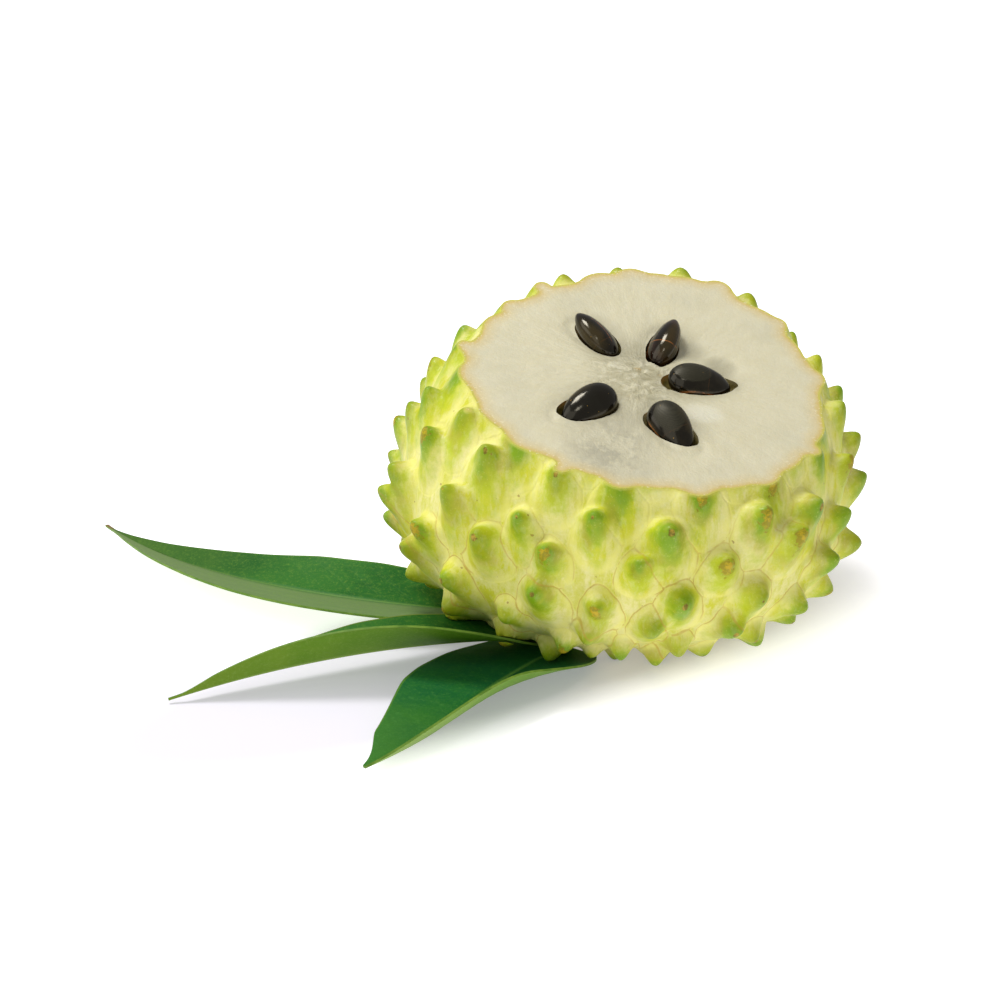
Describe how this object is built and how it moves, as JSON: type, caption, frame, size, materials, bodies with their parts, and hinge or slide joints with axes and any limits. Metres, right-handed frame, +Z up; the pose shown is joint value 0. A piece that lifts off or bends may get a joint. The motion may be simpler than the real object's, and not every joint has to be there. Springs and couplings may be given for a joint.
{
  "type": "halved soursop with leaves",
  "caption": "Stem-end part of a spiny soursop, cut across to show its pale flesh and dark seeds, resting on loose leaves.",
  "frame": {"origin": "centre of the small flat spot under the fruit, at the level of the table", "axes": "+Z up from the table, +X towards the side away from the leaves, -Y towards the side that the cut face leans to"},
  "size_m": [0.2202, 0.174, 0.0889],
  "materials": {
    "rind": "satin, pale yellow-green skin with green spines",
    "seed": "wet gloss, near black",
    "leaf": "waxy dark green, paler underneath"
  },
  "bodies": {
    "root": {"fruit": "rind", "seed_1": "seed", "seed_2": "seed", "seed_3": "seed", "seed_4": "seed", "seed_5": "seed", "leaf_long": "leaf", "leaf_folded": "leaf", "leaf_broad": "leaf"}
  },
  "joints": []
}
